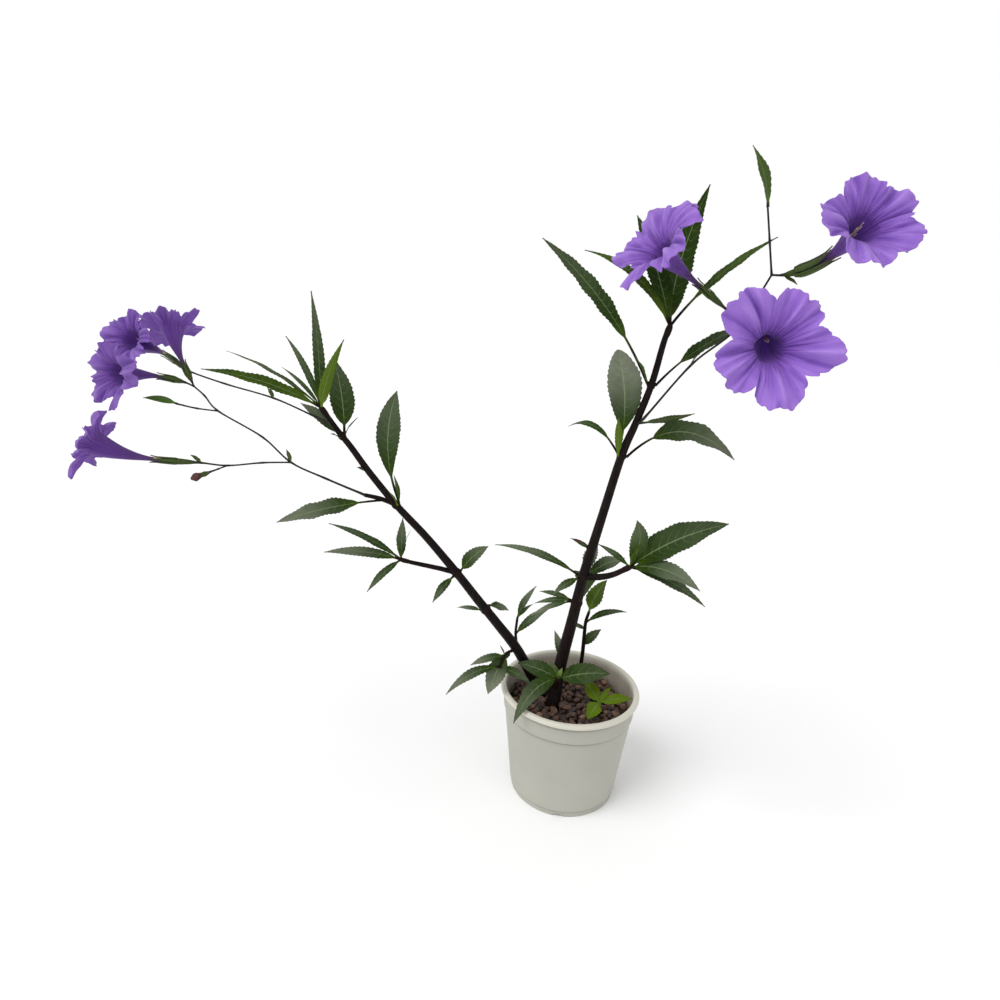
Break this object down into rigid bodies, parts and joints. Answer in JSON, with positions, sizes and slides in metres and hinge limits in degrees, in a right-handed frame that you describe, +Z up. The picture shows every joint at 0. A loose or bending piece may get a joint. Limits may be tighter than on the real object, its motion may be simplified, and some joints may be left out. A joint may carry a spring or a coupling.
{
  "type": "potted flowering plant",
  "caption": "Ruellia with two leaning dark stems, narrow toothed leaves in whorls and violet funnel flowers on thin stalks, in a plain round nursery pot topped with pebbles.",
  "frame": {"origin": "middle of the pot's underside, on the surface that the pot stands on", "axes": "+Z up, -Y towards the pictured front, +X to the right in the picture"},
  "size_m": [0.5434, 0.2217, 0.5058],
  "materials": {
    "pot_plastic": "satin, warm pale grey",
    "soil": "crumbly, dark brown",
    "pebbles": "worn smooth, reddish to dark brown",
    "bark": "smooth, purple black",
    "leaf": "satin, dark green with pale veins",
    "young_leaf": "satin, bright green",
    "stalk": "satin, olive green to purple",
    "petal": "soft, violet with darker veins",
    "withered": "dry, brown"
  },
  "bodies": {
    "root": {"pot": "pot_plastic", "potting_mix": "soil", "gravel": "pebbles", "right_stem": "bark", "left_stem": "bark", "right_branch_leaves": "leaf", "right_lower_leaves": "leaf", "right_middle_leaves": "leaf", "right_foot_leaf": "leaf", "right_bud_leaf": "leaf", "right_upper_leaves": "leaf", "right_top_leaves": "leaf", "right_crown": "leaf", "left_middle_leaves": "leaf", "left_lower_leaves": "leaf", "left_branch_leaves": "leaf", "left_upper_leaves": "leaf", "left_side_leaf": "leaf", "left_bud_leaf": "leaf", "left_top_leaves": "leaf", "left_crown": "leaf", "back_shoot": "leaf", "rosette_shoot": "leaf", "seedling": "young_leaf", "left_low_shoot": "leaf", "left_high_shoot": "leaf", "right_flower_stalks": "stalk", "left_flower_stalks": "stalk", "left_back_stalk": "stalk", "right_inner_flower": "petal", "right_front_flower": "petal", "right_outer_flower": "petal", "left_low_flower": "petal", "left_middle_flower": "petal", "left_upper_flower": "petal", "left_back_flower": "petal", "spent_bloom": "withered"}
  },
  "joints": []
}
